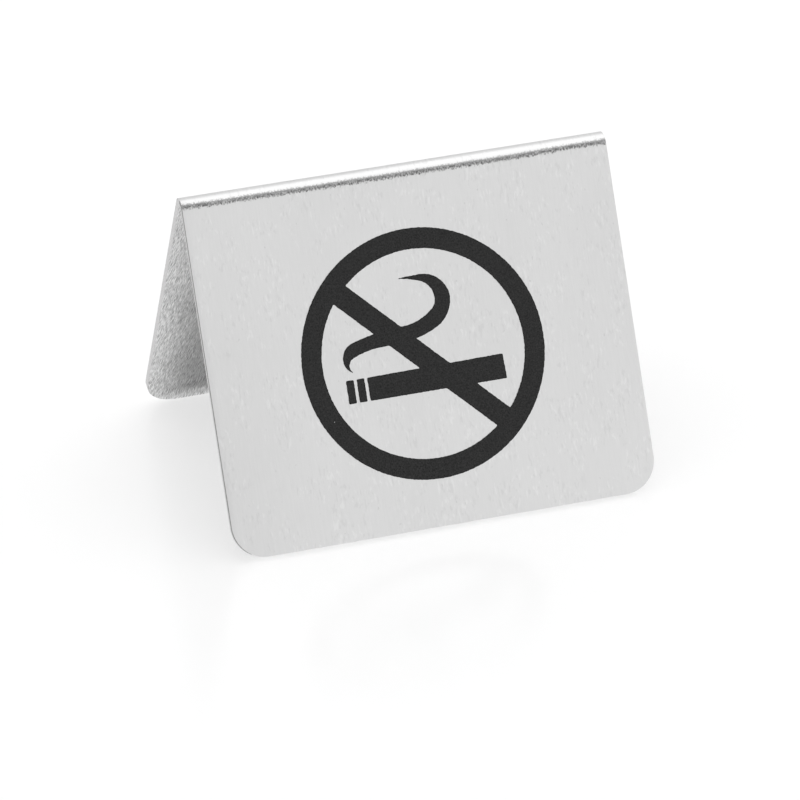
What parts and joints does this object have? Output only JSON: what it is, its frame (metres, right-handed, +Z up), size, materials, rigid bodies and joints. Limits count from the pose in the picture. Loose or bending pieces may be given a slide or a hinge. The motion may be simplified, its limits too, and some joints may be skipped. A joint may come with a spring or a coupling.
{
  "type": "no smoking sign",
  "caption": "Small free-standing table sign: one sheet of brushed steel folded into a tent, with a no smoking symbol printed on its front leg.",
  "frame": {"origin": "centre of the sign's bounding box at its base, on the surface that it stands on", "axes": "+X along the fold, to the right for someone who reads the sign; +Y from the printed leg towards the bare one, so the print faces -Y; +Z up"},
  "size_m": [0.052, 0.041, 0.0379],
  "materials": {
    "brushed_sheet": "satin, brushed at right angles to the fold",
    "black_ink": "matt screen-printed ink"
  },
  "bodies": {
    "root": {"folded_sheet": "brushed_sheet", "printed_symbol": "black_ink"}
  },
  "joints": []
}
